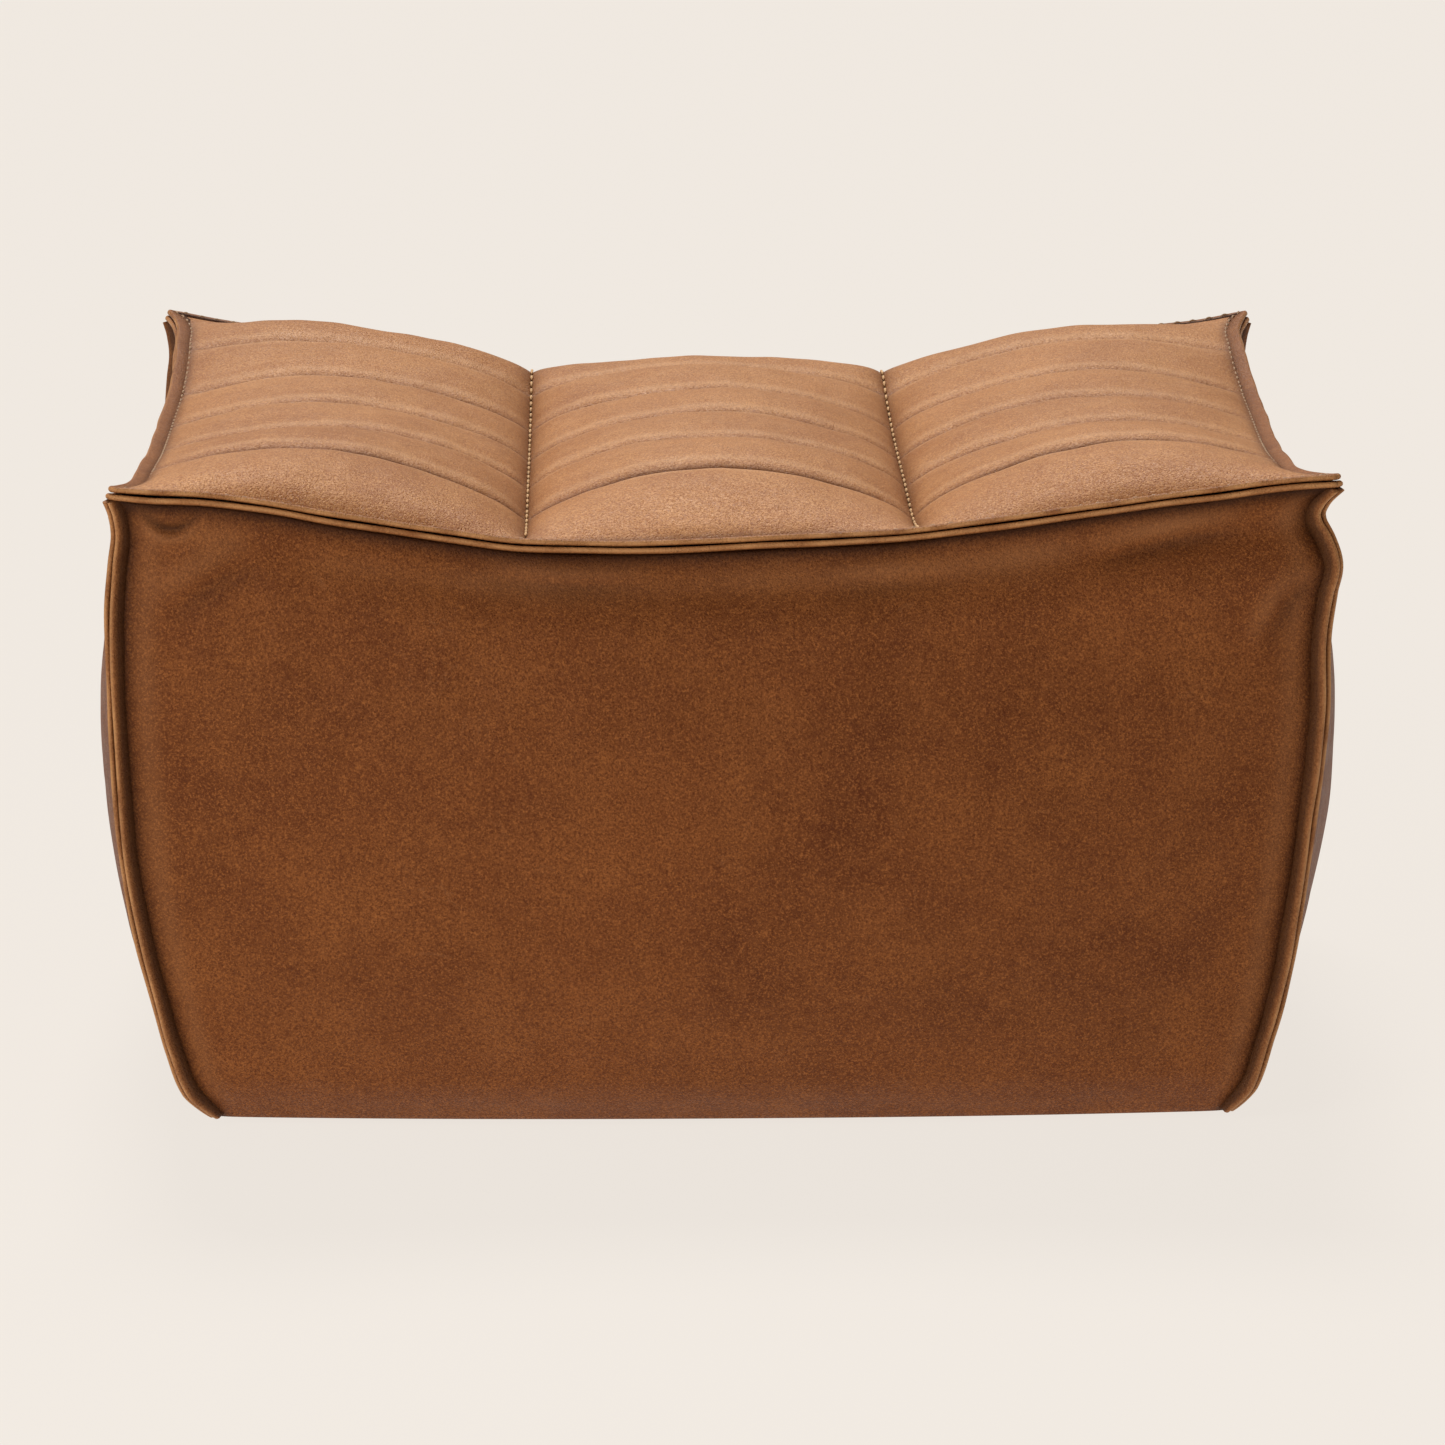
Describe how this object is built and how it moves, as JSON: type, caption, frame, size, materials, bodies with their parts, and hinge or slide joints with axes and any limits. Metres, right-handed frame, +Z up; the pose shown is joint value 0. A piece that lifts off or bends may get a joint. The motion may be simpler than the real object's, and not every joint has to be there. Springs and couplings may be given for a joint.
{
  "type": "leather footstool",
  "caption": "Low rectangular leather footstool with a quilted, gently dished top in columns, raised lapped seams, horned top corners and full sides that taper to the floor.",
  "frame": {"origin": "on the floor, under the middle of the footstool", "axes": "+X along its width, to the right of a person facing its front; -Y towards its front; +Z up"},
  "size_m": [0.8054, 0.6984, 0.4246],
  "materials": {
    "top_leather": "satin, waxed pull-up, pale where it is stretched",
    "side_leather": "satin, waxed pull-up, clouded",
    "seam_leather": "satin, burnished along the folds",
    "stitch_thread": "golden tan thread",
    "polyester_wadding": "soft white fibre",
    "backing_cloth": "plain non-woven",
    "foam": "open-cell foam",
    "pine": "planed, unfinished",
    "hardboard": "smooth one side",
    "elastic_webbing": "woven elastic",
    "dust_cover_fabric": "spunbond non-woven, matt",
    "staple_wire": "galvanised wire",
    "screw_steel": "zinc plated",
    "glide_plastic": "matt black"
  },
  "bodies": {
    "root": {"bottom_rail_back": "pine", "bottom_rail_front": "pine", "bottom_rail_left": "pine", "bottom_rail_right": "pine", "centre_rail": "pine", "column_foam_left": "foam", "column_foam_middle": "foam", "column_foam_right": "foam", "corner_post_back_left": "pine", "corner_post_back_right": "pine", "corner_post_front_left": "pine", "corner_post_front_right": "pine", "corner_seam_back_left": "seam_leather", "corner_seam_back_right": "seam_leather", "corner_seam_front_left": "seam_leather", "corner_seam_front_right": "seam_leather", "dust_cover": "dust_cover_fabric", "dust_cover_staples": "staple_wire", "frame_screws": "screw_steel", "glide_back_left": "glide_plastic", "glide_back_right": "glide_plastic", "glide_front_left": "glide_plastic", "glide_front_right": "glide_plastic", "glide_screws": "screw_steel", "hardboard_back": "hardboard", "hardboard_front": "hardboard", "hardboard_left": "hardboard", "hardboard_right": "hardboard", "hem_staples": "staple_wire", "leather_back": "side_leather", "leather_front": "side_leather", "leather_left": "side_leather", "leather_right": "side_leather", "leather_top_left": "top_leather", "leather_top_middle": "top_leather", "leather_top_right": "top_leather", "quilt_backing_left": "backing_cloth", "quilt_backing_middle": "backing_cloth", "quilt_backing_right": "backing_cloth", "quilt_wadding_left": "polyester_wadding", "quilt_wadding_middle": "polyester_wadding", "quilt_wadding_right": "polyester_wadding", "seat_core_foam": "foam", "side_foam_back": "foam", "side_foam_front": "foam", "side_foam_left": "foam", "side_foam_right": "foam", "top_edge_seam_back": "seam_leather", "top_edge_seam_front": "seam_leather", "top_edge_seam_left": "seam_leather", "top_edge_seam_right": "seam_leather", "top_rail_back": "pine", "top_rail_front": "pine", "top_rail_left": "pine", "top_rail_right": "pine", "wadding_wrap": "polyester_wadding", "webbing_crosswise": "elastic_webbing", "webbing_lengthwise": "elastic_webbing", "webbing_staples": "staple_wire"}
  },
  "joints": []
}
